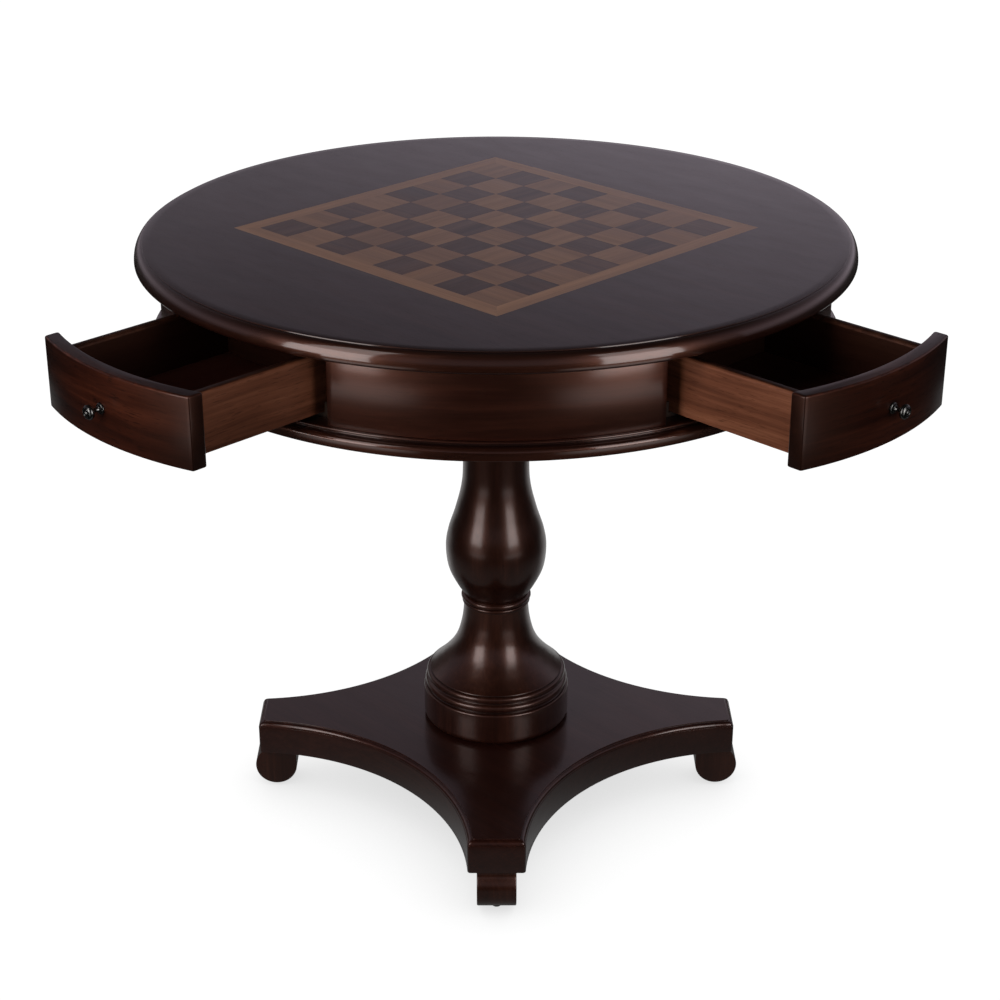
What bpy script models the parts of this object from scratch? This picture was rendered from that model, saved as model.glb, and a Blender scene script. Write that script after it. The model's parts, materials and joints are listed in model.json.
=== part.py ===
"""Round pedestal gaming table: chessboard top, four curved drawers, turned column, four-armed base.

Metres, +Z up, floor at z = 0. The drawers slide along +X, -Y, -X and +Y from the column's axis.
The two on +X and -Y stand open, the other two are shut.
"""
import bmesh
import bpy
from math import asin, atan2, cos, pi, radians, sin, sqrt
from mathutils import Vector

# ---------------------------------------------------------------- driving dimensions
TOP_RADIUS = 0.430
TOP_HEIGHT = 0.7687          # floor to playing surface
TOP_THICKNESS = 0.0225
BOARD_SIDE = 0.444           # chessboard panel, border included
BOARD_THICKNESS = 0.0025
GAP = 0.0003                 # glue line between touching pieces

APRON_RADIUS = 0.4025        # outer face of the fixed panels and of the shut drawers
APRON_THICKNESS = 0.0175
RING_RADIUS = 0.4148         # moulding under the drawers
RING_BOTTOM = 0.6435
RING_TOP = 0.6620
FLOOR_BOARD_BOTTOM = 0.6500
FLOOR_BOARD_TOP = 0.6600
FLOOR_BOARD_RADIUS = 0.3837

OPENING_HALF = 0.1270        # half the width of a drawer opening
FRONT_HALF = 0.1255
FRONT_BOTTOM = 0.6632
FRONT_TOP = 0.7450
BOX_HALF = 0.1060            # outer face of a drawer side
BOX_BOTTOM = 0.6680
BOX_TOP = 0.7360
BOX_BACK = 0.1500            # outer face of the shut drawer's back
WALL = 0.0120
DRAWER_FLOOR_BOTTOM = 0.6706
DRAWER_FLOOR_TOP = 0.6756
DRAWER_OPEN = 0.1764         # how far the two open drawers stand out
KNOB_HEIGHT = 0.7025
KNOB_REACH = 0.0200

GUIDE_WEB = 0.0100
GUIDE_START = 0.1390
CORE_HALF = 0.0600           # centre block under the top

COLUMN_TOP = 0.6310
COLUMN_STEPS = 28            # sides of the turned column
PLATE_HALF = 0.1100
PLATE_TOP = 0.6497
NECK_RING_TOP = 0.2815
NECK_RING_BOTTOM = 0.2668
PLATFORM_TOP = 0.1039
PLATFORM_BOTTOM = 0.0586
ARM_REACH = 0.3125           # axis to the flat end of an arm
CURVE_CENTRE = 0.3300        # centre of each concave side, along both arms
CURVE_RADIUS = 0.2955
FOOT_RADIUS = 0.0272
FOOT_CENTRE = 0.2929
FOOT_BOTTOM = 0.0043
FOOT_WIDTH = 0.0480

ROD_RADIUS = 0.0050
ROD_HOLE = 0.0062
ROD_BOTTOM = 0.0640
ROD_TOP = 0.7390
NUT_HEIGHT = 0.0080
NUT_ACROSS = 0.0170
COUNTERBORE = 0.0150

# The open drawers widen the object towards +X and -Y, so the column's axis stands off the
# origin by half of that, and the origin is the middle of the object's footprint.
REACH = APRON_RADIUS + DRAWER_OPEN + KNOB_REACH
AXIS_X = -(REACH - TOP_RADIUS) / 2
AXIS_Y = -AXIS_X

TOP_UNDER = TOP_HEIGHT - TOP_THICKNESS
INNER_FACE = APRON_RADIUS - APRON_THICKNESS

WALNUT = ("stained_hardwood", (0.045, 0.020, 0.013), 0.32, 0.0)
BOARD_WOOD = ("inlay_veneer", (0.165, 0.095, 0.060), 0.30, 0.0)
SIDE_WOOD = ("drawer_side_wood", (0.190, 0.085, 0.045), 0.55, 0.0)
FLOOR_WOOD = ("drawer_floor_wood", (0.060, 0.027, 0.020), 0.60, 0.0)
CARCASS_WOOD = ("carcass_wood", (0.090, 0.050, 0.030), 0.65, 0.0)
PEWTER = ("dark_metal_knob", (0.080, 0.078, 0.075), 0.30, 1.0)
STEEL = ("plated_steel", (0.520, 0.520, 0.510), 0.35, 1.0)
GLIDE = ("glide_plastic", (0.030, 0.028, 0.026), 0.50, 0.0)

for old in list(bpy.data.objects):
    bpy.data.objects.remove(old)

parts = bpy.data.collections.new("gaming_table")
cutters = bpy.data.collections.new("cutters")
for collection in (parts, cutters):
    bpy.context.scene.collection.children.link(collection)


# ---------------------------------------------------------------- helpers
def empty(name, location, angle=0.0, parent=None):
    """An empty that carries pieces, turned about Z."""
    holder = bpy.data.objects.new(name, None)
    holder.empty_display_size = 0.05
    holder.location = location
    holder.rotation_euler = (0, 0, angle)
    holder.parent = parent
    parts.objects.link(holder)
    return holder


def dress(obj, finish, smooth_angle=35):
    """Gives a piece its own material and smooth shading with sharp edges."""
    slot, colour, roughness, metallic = finish
    material = bpy.data.materials.new(f"{obj.name}_{slot}")
    material.use_nodes = True
    shader = material.node_tree.nodes["Principled BSDF"]
    shader.inputs["Base Color"].default_value = (*colour, 1)
    shader.inputs["Roughness"].default_value = roughness
    shader.inputs["Metallic"].default_value = metallic
    obj.data.materials.clear()
    obj.data.materials.append(material)
    obj.data.shade_smooth()
    obj.data.set_sharp_from_angle(angle=radians(smooth_angle))
    return obj


def mesh_object(name, bm, collection=parts, parent=None):
    mesh = bpy.data.meshes.new(name)
    bm.to_mesh(mesh)
    bm.free()
    obj = bpy.data.objects.new(name, mesh)
    obj.parent = parent
    collection.objects.link(obj)
    return obj


def box(name, low, high, collection=parts, parent=None):
    """A box between two corners."""
    low, high = Vector(low), Vector(high)
    bm = bmesh.new()
    bmesh.ops.create_cube(bm, size=1.0)
    bmesh.ops.scale(bm, vec=high - low, verts=bm.verts)
    bmesh.ops.translate(bm, vec=(low + high) / 2, verts=bm.verts)
    return mesh_object(name, bm, collection, parent)


def cylinder(name, radius, bottom, top, segments, collection=parts, parent=None):
    bm = bmesh.new()
    bmesh.ops.create_cone(bm, cap_ends=True, segments=segments, radius1=radius, radius2=radius,
                          depth=top - bottom)
    bmesh.ops.translate(bm, vec=(0, 0, (top + bottom) / 2), verts=bm.verts)
    return mesh_object(name, bm, collection, parent)


def plate(name, outline, bottom, top, parent=None):
    """A flat piece: a filled 2D outline given in plan, extruded between two heights."""
    curve = bpy.data.curves.new(name, "CURVE")
    curve.dimensions = "2D"
    curve.fill_mode = "BOTH"
    curve.extrude = (top - bottom) / 2
    spline = curve.splines.new("POLY")
    spline.points.add(len(outline) - 1)
    for point, (x, y) in zip(spline.points, outline):
        point.co = (x, y, 0, 1)
    spline.use_cyclic_u = True
    source = bpy.data.objects.new(name + "_outline", curve)
    parts.objects.link(source)
    graph = bpy.context.evaluated_depsgraph_get()
    mesh = bpy.data.meshes.new_from_object(source.evaluated_get(graph))
    bpy.data.objects.remove(source)
    bm = bmesh.new()
    bm.from_mesh(mesh)
    bmesh.ops.remove_doubles(bm, verts=bm.verts, dist=0.00001)
    bmesh.ops.dissolve_limit(bm, angle_limit=radians(0.5), verts=bm.verts, edges=bm.edges)
    bmesh.ops.translate(bm, vec=(0, 0, (top + bottom) / 2), verts=bm.verts)
    bmesh.ops.recalc_face_normals(bm, faces=bm.faces)
    return mesh_object(name, bm, parts, parent)


def turned(name, profile, steps, closed=False, parent=None):
    """A piece turned about Z from (radius, height) points that run down its outer side."""
    bm = bmesh.new()
    verts = [bm.verts.new((r, 0, z)) for r, z in profile]
    for a, b in zip(verts, verts[1:]):
        bm.edges.new((a, b))
    if closed:
        bm.edges.new((verts[-1], verts[0]))
    obj = mesh_object(name, bm, parts, parent)
    screw = obj.modifiers.new("turn", "SCREW")
    screw.axis = "Z"
    screw.steps = steps
    screw.render_steps = steps
    screw.use_merge_vertices = True
    screw.merge_threshold = 0.0001
    screw.use_smooth_shade = True
    return obj


def boolean(obj, cutter, operation="DIFFERENCE"):
    cutter.display_type = "WIRE"
    cutter.hide_render = True
    modifier = obj.modifiers.new(operation.lower(), "BOOLEAN")
    modifier.operation = operation
    modifier.object = cutter


def bevel(obj, width, segments=1, angle=40):
    modifier = obj.modifiers.new("bevel", "BEVEL")
    modifier.width = width
    modifier.segments = segments
    modifier.limit_method = "ANGLE"
    modifier.angle_limit = radians(angle)
    modifier.use_clamp_overlap = True


def arc(centre, radius, start, end, steps):
    """Points along an arc, both ends included; angles in radians."""
    turns = (start + (end - start) * k / steps for k in range(steps + 1))
    return [(centre[0] + radius * cos(a), centre[1] + radius * sin(a)) for a in turns]


def smooth_run(stations, per_span):
    """A smooth curve through (radius, height) stations, Catmull-Rom, ends included."""
    ends = [stations[0]] + stations + [stations[-1]]
    run = []
    for k in range(1, len(ends) - 2):
        p0, p1, p2, p3 = (Vector(p) for p in ends[k - 1:k + 3])
        for j in range(per_span):
            t = j / per_span
            run.append(tuple(0.5 * (2 * p1 + (p2 - p0) * t + (2 * p0 - 5 * p1 + 4 * p2 - p3) * t ** 2
                                    + (3 * p1 - p0 - 3 * p2 + p3) * t ** 3)))
    run.append(tuple(stations[-1]))
    return run


def bored(outer):
    """Closes a turned outer profile round the tie rod's hole."""
    return [(ROD_HOLE, outer[0][1])] + outer + [(ROD_HOLE, outer[-1][1])]


axis = empty("column_axis", (AXIS_X, AXIS_Y, 0))


# ---------------------------------------------------------------- top and chessboard
def build_top():
    """Round top with a stepped thumbnail edge, and a recess for the chessboard panel."""
    field = TOP_RADIUS - 0.0105
    step = TOP_HEIGHT - 0.0012
    drop = 0.0160
    nose = [(TOP_RADIUS - 0.0100 + 0.0100 * sin(a), step - drop + drop * cos(a))
            for a in (radians(v) for v in (0, 25, 50, 70, 90))]
    profile = [(0, TOP_HEIGHT), (field, TOP_HEIGHT), (field, step)] + nose
    profile += [(TOP_RADIUS - 0.0010, TOP_UNDER + 0.0020), (TOP_RADIUS - 0.0036, TOP_UNDER),
                (0, TOP_UNDER)]
    top = turned("top_panel", profile, 64, parent=axis)
    recess_half = BOARD_SIDE / 2 + GAP
    recess_floor = TOP_HEIGHT - BOARD_THICKNESS - GAP
    recess = box("chessboard_recess", (-recess_half, -recess_half, recess_floor),
                 (recess_half, recess_half, TOP_HEIGHT + 0.01), cutters, axis)
    boolean(top, recess)
    dress(top, WALNUT)
    half = BOARD_SIDE / 2
    board = box("chessboard_inlay", (-half, -half, TOP_HEIGHT - BOARD_THICKNESS),
                (half, half, TOP_HEIGHT), parent=axis)
    dress(board, BOARD_WOOD)


# ---------------------------------------------------------------- case under the top
def build_apron():
    """Four fixed curved panels on the diagonals, between the drawer openings."""
    inner = INNER_FACE
    outer_start = asin(OPENING_HALF / APRON_RADIUS)
    inner_start = asin(OPENING_HALF / inner)
    for k, place in enumerate(("front", "right", "back", "left")):
        turn = radians(-90 + 90 * k)
        outline = arc((0, 0), APRON_RADIUS, turn + outer_start, turn + pi / 2 - outer_start, 12)
        outline += arc((0, 0), inner, turn + pi / 2 - inner_start, turn + inner_start, 12)
        panel = plate(f"apron_panel_{place}", outline, RING_TOP + GAP, TOP_UNDER - GAP, axis)
        dress(panel, WALNUT)


def build_ring():
    """Lower moulding: a bead over an eased band, with a ledge inside for the floor board."""
    ledge = FLOOR_BOARD_RADIUS + 0.0010
    lip = FLOOR_BOARD_BOTTOM - GAP
    bead = APRON_RADIUS + 0.0035
    profile = [(ledge, RING_TOP), (bead - 0.0012, RING_TOP), (bead, RING_TOP - 0.0016),
               (bead - 0.0006, RING_TOP - 0.0040), (RING_RADIUS - 0.0030, RING_TOP - 0.0052),
               (RING_RADIUS, RING_TOP - 0.0085), (RING_RADIUS, RING_BOTTOM + 0.0020),
               (RING_RADIUS - 0.0020, RING_BOTTOM), (ledge - 0.0120, RING_BOTTOM),
               (ledge - 0.0120, lip), (ledge, lip)]
    ring = turned("lower_ring_moulding", profile, 64, closed=True, parent=axis)
    dress(ring, WALNUT)


def build_floor_board():
    board = cylinder("case_floor_board", FLOOR_BOARD_RADIUS, FLOOR_BOARD_BOTTOM,
                     FLOOR_BOARD_TOP, 64, parent=axis)
    hole = cylinder("floor_board_rod_hole", ROD_HOLE, RING_BOTTOM, RING_TOP, 16, cutters, axis)
    boolean(board, hole)
    dress(board, CARCASS_WOOD)


def build_centre_block():
    """Block between the floor board and the top, counterbored for the tie rod's upper nut."""
    block = box("centre_block", (-CORE_HALF, -CORE_HALF, FLOOR_BOARD_TOP + GAP),
                (CORE_HALF, CORE_HALF, TOP_UNDER - GAP), parent=axis)
    hole = cylinder("centre_block_rod_hole", ROD_HOLE, RING_TOP - 0.02, TOP_HEIGHT, 16,
                    cutters, axis)
    pocket = cylinder("centre_block_nut_pocket", COUNTERBORE, ROD_TOP - 0.0160, TOP_HEIGHT, 24,
                      cutters, axis)
    boolean(block, hole)
    boolean(block, pocket)
    dress(block, CARCASS_WOOD)


def build_guides(slot, place):
    """The two stepped guides of one drawer: a ledge to slide on, a low lip and a full web."""
    bottom = FLOOR_BOARD_TOP + GAP
    ledge = BOX_BOTTOM - GAP
    web = OPENING_HALF + 0.0005
    lip = BOX_HALF + 0.0010
    section = [(BOX_HALF - WALL - 0.0045, bottom), (web + GUIDE_WEB, bottom),
               (web + GUIDE_WEB, TOP_UNDER - GAP), (web, TOP_UNDER - GAP),
               (web, ledge + 0.0120), (lip, ledge + 0.0120), (lip, ledge),
               (BOX_HALF - WALL - 0.0045, ledge)]
    for side, name in ((1, "left"), (-1, "right")):
        outline = section if side > 0 else [(-t, z) for t, z in reversed(section)]
        guide = plate(f"{place}_drawer_guide_{name}", outline, GUIDE_START, APRON_RADIUS, slot)
        # the section stands in local Y-Z and runs out along local +X
        guide.rotation_euler = (pi / 2, 0, pi / 2)
        bound = cylinder(f"{place}_guide_end_{name}", FLOOR_BOARD_RADIUS - 0.0005, 0.60, 0.80, 96,
                         cutters, axis)
        boolean(guide, bound, "INTERSECT")
        dress(guide, CARCASS_WOOD)


# ---------------------------------------------------------------- drawers
def build_drawer(carrier, place):
    """One drawer in its own frame: it opens along local +X, its width is along local Y."""
    inner = INNER_FACE
    out_angle = asin(FRONT_HALF / APRON_RADIUS)
    in_angle = asin(FRONT_HALF / inner)
    outline = arc((0, 0), APRON_RADIUS, -out_angle, out_angle, 12)
    outline += arc((0, 0), inner, in_angle, -in_angle, 12)
    front = plate(f"{place}_drawer_front", outline, FRONT_BOTTOM, FRONT_TOP, carrier)
    bevel(front, 0.0018)
    dress(front, WALNUT)

    end = inner - GAP
    low, high = BOX_HALF - WALL, BOX_HALF
    reach_low, reach_high = sqrt(end ** 2 - low ** 2), sqrt(end ** 2 - high ** 2)
    side = [(BOX_BACK, low), (reach_low, low), (reach_high, high), (BOX_BACK, high)]
    for sign, name in ((1, "left"), (-1, "right")):
        plan = side if sign > 0 else [(x, -y) for x, y in reversed(side)]
        wall = plate(f"{place}_drawer_side_{name}", plan, BOX_BOTTOM, BOX_TOP, carrier)
        bevel(wall, 0.0025)
        dress(wall, SIDE_WOOD)

    inside = low - GAP
    back = box(f"{place}_drawer_back", (BOX_BACK, -inside, DRAWER_FLOOR_TOP + GAP),
               (BOX_BACK + WALL, inside, BOX_TOP - 0.0020), parent=carrier)
    dress(back, SIDE_WOOD)
    edge = asin(inside / end)
    floor_plan = [(BOX_BACK, inside), (BOX_BACK, -inside)] + arc((0, 0), end, -edge, edge, 10)
    floor = plate(f"{place}_drawer_floor", floor_plan, DRAWER_FLOOR_BOTTOM, DRAWER_FLOOR_TOP,
                  carrier)
    dress(floor, FLOOR_WOOD)
    build_knob(carrier, place)


def build_knob(carrier, place):
    """Turned knob on a small rose; its axis is the drawer's own."""
    tip = KNOB_REACH
    profile = [(0, tip), (0.0050, tip - 0.0006), (0.0080, tip - 0.0040), (0.0070, tip - 0.0084),
               (0.0030, tip - 0.0104), (0.0030, 0.0050), (0.0064, 0.0022), (0.0064, GAP),
               (0, GAP)]
    knob = turned(f"{place}_drawer_knob", profile, 14, parent=carrier)
    knob.rotation_euler = (0, pi / 2, 0)
    knob.location = (APRON_RADIUS, 0, KNOB_HEIGHT)
    dress(knob, PEWTER)


# ---------------------------------------------------------------- column
def build_column():
    """Turned column in three pieces round the tie rod, under a mounting plate."""
    shaft = [(0.0520, COLUMN_TOP), (0.0520, COLUMN_TOP - 0.0080), (0.0490, COLUMN_TOP - 0.0130)]
    shaft += smooth_run([(0.0445, 0.6050), (0.0425, 0.5300), (0.0418, 0.4640), (0.0440, 0.4320),
                         (0.0520, 0.3990), (0.0612, 0.3700), (0.0644, 0.3470), (0.0612, 0.3200),
                         (0.0502, 0.2960), (0.0406, NECK_RING_TOP + GAP)], 2)
    dress(turned("column_vase", bored(shaft), COLUMN_STEPS, closed=True, parent=axis), WALNUT, 30)

    bead = [(0.0404, NECK_RING_TOP)]
    bead += [(0.0410 + 0.0040 * cos(radians(a)), 0.2772 + 0.0040 * sin(radians(a)))
             for a in (60, 0, -50)]
    bead += [(0.0434, 0.2712), (0.0434, 0.2682), (0.0422, NECK_RING_BOTTOM)]
    dress(turned("column_neck_ring", bored(bead), COLUMN_STEPS, closed=True, parent=axis), WALNUT, 30)

    bell = smooth_run([(0.0415, NECK_RING_BOTTOM - GAP), (0.0426, 0.2520), (0.0449, 0.2380),
                       (0.0498, 0.2200), (0.0580, 0.2040), (0.0690, 0.1900), (0.0795, 0.1790),
                       (0.0860, 0.1730)], 1)
    bell += [(0.0852, 0.1722), (0.0888, 0.1698), (0.0908, 0.1640), (0.0892, 0.1614),
             (0.0918, 0.1588), (0.0932, 0.1520), (0.0918, 0.1486), (0.0932, 0.1458),
             (0.0946, 0.1428), (0.0946, PLATFORM_TOP + 0.0080), (0.0920, PLATFORM_TOP + 0.0024),
             (0.0870, PLATFORM_TOP + GAP)]
    dress(turned("column_bell", bored(bell), COLUMN_STEPS, closed=True, parent=axis), WALNUT, 30)

    plate_top = box("column_mounting_plate", (-PLATE_HALF, -PLATE_HALF, COLUMN_TOP + GAP),
                    (PLATE_HALF, PLATE_HALF, PLATE_TOP), parent=axis)
    hole = cylinder("mounting_plate_hole", ROD_HOLE, 0.60, 0.70, 16, cutters, axis)
    bevel(plate_top, 0.0030)
    boolean(plate_top, hole)
    dress(plate_top, CARCASS_WOOD)


def build_tie_rod():
    """Steel rod that clamps base, column and case, with a nut at each end."""
    dress(cylinder("tie_rod", ROD_RADIUS, ROD_BOTTOM, ROD_TOP, 16, parent=axis), STEEL)
    for name, bottom in (("tie_rod_lower_nut", ROD_BOTTOM + 0.0010),
                         ("tie_rod_upper_nut", ROD_TOP - 0.0156)):
        nut = cylinder(name, NUT_ACROSS / 2 / cos(pi / 6), bottom, bottom + NUT_HEIGHT, 6,
                       parent=axis)
        thread = cylinder(name + "_thread", ROD_RADIUS + GAP, bottom - 0.01,
                          bottom + NUT_HEIGHT + 0.01, 16, cutters, axis)
        boolean(nut, thread)
        dress(nut, STEEL)


# ---------------------------------------------------------------- base
def build_platform():
    """Four-armed base: concave sides between straight arm ends, rounded top edge."""
    arm_half = CURVE_CENTRE - sqrt(CURVE_RADIUS ** 2 - (CURVE_CENTRE - ARM_REACH) ** 2)
    start = atan2(arm_half - CURVE_CENTRE, ARM_REACH - CURVE_CENTRE)
    outline = []
    for k in range(4):
        side = arc((CURVE_CENTRE, CURVE_CENTRE), CURVE_RADIUS, start, -pi / 2 - (start + pi), 14)
        turn = pi / 4 + k * pi / 2
        outline += [(x * cos(turn) - y * sin(turn), x * sin(turn) + y * cos(turn))
                    for x, y in side]
    platform = plate("base_platform", outline, PLATFORM_BOTTOM, PLATFORM_TOP, axis)
    weights = platform.data.attributes.new("bevel_weight_edge", "FLOAT", "EDGE")
    for edge in platform.data.edges:
        ends = [platform.data.vertices[v].co.z for v in edge.vertices]
        weights.data[edge.index].value = float(min(ends) > PLATFORM_TOP - 0.001)
    rounding = platform.modifiers.new("top_edge", "BEVEL")
    rounding.limit_method = "WEIGHT"
    rounding.width = 0.0050
    rounding.segments = 2
    hole = cylinder("platform_rod_hole", ROD_HOLE, 0.02, 0.15, 16, cutters, axis)
    pocket = cylinder("platform_nut_pocket", COUNTERBORE, 0.02, ROD_BOTTOM + 0.0110, 24,
                      cutters, axis)
    boolean(platform, hole)
    boolean(platform, pocket)
    dress(platform, WALNUT)


def build_foot(arm, number):
    """Scroll foot: a disc on edge whose outer side pulls in to a neck under the arm."""
    top = PLATFORM_BOTTOM - GAP
    middle = FOOT_BOTTOM + FOOT_RADIUS
    inner = FOOT_CENTRE - FOOT_RADIUS
    # the hollow of the neck is an arc that meets the disc, centred outside it
    hollow = 0.0130
    lift = top - middle
    offset = sqrt((FOOT_RADIUS + hollow) ** 2 - lift ** 2)
    meet = atan2(lift, offset)
    outline = [(inner, top), (inner, middle)]
    outline += arc((FOOT_CENTRE, middle), FOOT_RADIUS, pi, 2 * pi + meet, 16)[1:]
    outline += arc((FOOT_CENTRE + offset, top), hollow, pi + meet, pi, 3)[1:]
    foot = plate(f"scroll_foot_{number}", outline, -FOOT_WIDTH / 2, FOOT_WIDTH / 2, arm)
    foot.rotation_euler = (pi / 2, 0, 0)
    bevel(foot, 0.0012, angle=60)
    dress(foot, WALNUT)
    glide = turned(f"floor_glide_{number}",
                   [(0, FOOT_BOTTOM - GAP), (0.0060, FOOT_BOTTOM - GAP), (0.0060, 0.0012),
                    (0.0050, 0), (0, 0)], 16, parent=arm)
    glide.location = (FOOT_CENTRE, 0, 0)
    dress(glide, GLIDE)


# ---------------------------------------------------------------- assembly
build_top()
build_apron()
build_ring()
build_floor_board()
build_centre_block()
for place, angle, opened in (("right", 0, DRAWER_OPEN), ("front", -90, DRAWER_OPEN),
                             ("left", 180, 0.0), ("back", 90, 0.0)):
    slot = empty(f"{place}_drawer_slot", (0, 0, 0), radians(angle), axis)
    build_guides(slot, place)
    carrier = empty(f"{place}_drawer_carrier", (opened, 0, 0), 0.0, slot)
    build_drawer(carrier, place)
build_column()
build_tie_rod()
build_platform()
for number in range(4):
    arm = empty(f"arm_{number + 1}", (0, 0, 0), radians(-45 + 90 * number), axis)
    build_foot(arm, number + 1)
bpy.context.view_layer.update()
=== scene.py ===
"""Looks for the round gaming table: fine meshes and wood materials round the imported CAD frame."""
import json
from math import asin, atan2, cos, hypot, pi, radians, sin, sqrt

import bmesh
import bpy
import numpy as np
from mathutils import Matrix, Vector


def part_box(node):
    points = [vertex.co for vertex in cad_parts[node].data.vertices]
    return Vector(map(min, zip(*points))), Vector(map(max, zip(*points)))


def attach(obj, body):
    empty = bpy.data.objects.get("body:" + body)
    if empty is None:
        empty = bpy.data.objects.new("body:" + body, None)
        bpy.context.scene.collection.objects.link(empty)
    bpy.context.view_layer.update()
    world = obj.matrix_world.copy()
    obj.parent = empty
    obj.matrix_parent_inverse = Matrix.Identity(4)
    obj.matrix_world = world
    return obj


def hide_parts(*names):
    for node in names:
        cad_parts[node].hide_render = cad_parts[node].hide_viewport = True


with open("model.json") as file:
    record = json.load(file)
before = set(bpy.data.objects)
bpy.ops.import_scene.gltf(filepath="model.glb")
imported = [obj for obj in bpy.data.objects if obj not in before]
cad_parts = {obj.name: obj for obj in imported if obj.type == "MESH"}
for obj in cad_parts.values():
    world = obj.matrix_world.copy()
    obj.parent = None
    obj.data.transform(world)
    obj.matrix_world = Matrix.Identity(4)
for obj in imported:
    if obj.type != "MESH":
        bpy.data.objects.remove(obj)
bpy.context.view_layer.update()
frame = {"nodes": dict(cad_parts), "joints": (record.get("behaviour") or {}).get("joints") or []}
rng = np.random.default_rng(7)


# ---------------------------------------------------------------- sizes read from the frame
def spread(node):
    """Lowest corner, highest corner and middle of a CAD node."""
    low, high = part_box(node)
    return low, high, (low + high) / 2


top_low, top_high, top_mid = spread("top_panel")
AX, AY = top_mid.x, top_mid.y                  # the column's axis
TOP_R = (top_high.x - top_low.x) / 2
TOP_Z, TOP_UNDER = top_high.z, top_low.z
AXIS = Matrix.Translation((AX, AY, 0))

ring_low, ring_high, _ = spread("lower_ring_moulding")
RING_R = (ring_high.x - ring_low.x) / 2
APRON_R = 0.4025
APRON_THICK = 0.0175
INNER_R = APRON_R - APRON_THICK
OPENING_HALF = 0.1270
FRONT_HALF = 0.1255
BOX_HALF = 0.1060
WALL = 0.0120
BOX_BACK = 0.1500
GAP = 0.0003
PLACES = {"right": 0, "front": -90, "left": 180, "back": 90}


# ---------------------------------------------------------------- mesh helpers
def arc(centre, radius, start, end, steps):
    """Points along an arc, both ends included; angles in radians, radius a number or a pair."""
    rx, ry = radius if isinstance(radius, tuple) else (radius, radius)
    turns = (start + (end - start) * k / steps for k in range(steps + 1))
    return [(centre[0] + rx * cos(a), centre[1] + ry * sin(a)) for a in turns]


def smooth_run(stations, per_span):
    """A smooth curve through the stations, Catmull-Rom, ends included."""
    ends = [stations[0]] + stations + [stations[-1]]
    run = []
    for k in range(1, len(ends) - 2):
        p0, p1, p2, p3 = (Vector(p) for p in ends[k - 1:k + 3])
        for j in range(per_span):
            t = j / per_span
            run.append(tuple(0.5 * (2 * p1 + (p2 - p0) * t + (2 * p0 - 5 * p1 + 4 * p2 - p3) * t ** 2
                                    + (3 * p1 - p0 - 3 * p2 + p3) * t ** 3)))
    run.append(tuple(stations[-1]))
    return run


def fillet(points, corners, radius, steps=4):
    """Rounds the listed corners of a closed outline."""
    out = []
    count = len(points)
    for k, point in enumerate(points):
        if k not in corners:
            out.append(point)
            continue
        p = Vector(point)
        a = (Vector(points[k - 1]) - p).normalized()
        b = (Vector(points[(k + 1) % count]) - p).normalized()
        half = a.angle(b) / 2
        reach = radius / np.tan(half)
        centre = p + (a + b).normalized() * (radius / sin(half))
        first, last = p + a * reach - centre, p + b * reach - centre
        start = atan2(first.y, first.x)
        turn = (atan2(last.y, last.x) - start + pi) % (2 * pi) - pi
        out += arc(centre, radius, start, start + turn, steps)
    return out


def paint(obj, grain, shade_and_glaze=None, wear_and_highlight=None, tone=0.0):
    """Stores what the wood materials read: grain coordinates, painted shade in hollows and recesses with
    the top field's stain glaze, wear and painted highlight on edges.
    """
    mesh = obj.data
    count = len(mesh.vertices)
    co = np.zeros(count * 3)
    mesh.vertices.foreach_get("co", co)
    co = co.reshape(-1, 3)
    field = mesh.attributes.new("grain", "FLOAT_VECTOR", "POINT")
    field.data.foreach_set("vector", np.ascontiguousarray(grain(co), dtype=float).ravel())
    finish = np.zeros((count, 3))
    # channel 0 darkens: painted shade, and the stain glaze on the top's field
    if shade_and_glaze is not None:
        finish[:, 0] = shade_and_glaze
    # channel 1 lightens: wear and painted highlight on edges
    if wear_and_highlight is not None:
        finish[:, 1] = wear_and_highlight
    finish[:, 2] = tone
    field = mesh.attributes.new("finish", "FLOAT_VECTOR", "POINT")
    field.data.foreach_set("vector", finish.ravel())


def along(axis):
    """Grain of a straight board that runs along one axis: 0, 1 or 2."""
    offset = rng.uniform(0, 40, 3)
    order = [axis] + [k for k in range(3) if k != axis]
    return lambda co: co[:, order] + offset


def around():
    """Grain of a bent piece, running round the local Z axis."""
    offset = rng.uniform(0, 40, 3)

    def grain(co):
        angle = np.arctan2(co[:, 1], co[:, 0])
        radius = np.hypot(co[:, 0], co[:, 1])
        return np.stack([angle * 0.4, co[:, 2], radius], 1) + offset
    return grain


def make_object(name, bm, material, smooth=32):
    mesh = bpy.data.meshes.new(name)
    bm.normal_update()
    bm.to_mesh(mesh)
    bm.free()
    mesh.shade_smooth()
    mesh.set_sharp_from_angle(angle=radians(smooth))
    mesh.materials.append(material)
    obj = bpy.data.objects.new(name, mesh)
    bpy.context.scene.collection.objects.link(obj)
    return obj


def profile_marks(profile, closed):
    """Painted shade in the hollows of a turned profile and wear with painted highlight on its crests, from
    its curvature.
    """
    count = len(profile)
    shade_and_glaze, wear_and_highlight = [], []
    for k in range(count):
        if not closed and k in (0, count - 1):
            shade_and_glaze.append(0.0)
            wear_and_highlight.append(0.0)
            continue
        before, here, after = profile[k - 1], profile[k], profile[(k + 1) % count]
        a = Vector(here) - Vector(before)
        b = Vector(after) - Vector(here)
        if a.length < 1e-7 or b.length < 1e-7:
            bend = 0.0
        else:
            bend = (a.x * b.y - a.y * b.x) / (a.length * b.length)
        # hollows take painted shade, crests take wear and painted highlight
        shade_and_glaze.append(min(1.0, max(0.0, bend * 1.6)))
        wear_and_highlight.append(min(1.0, max(0.0, -bend * 0.9)))
    return shade_and_glaze, wear_and_highlight


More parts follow.
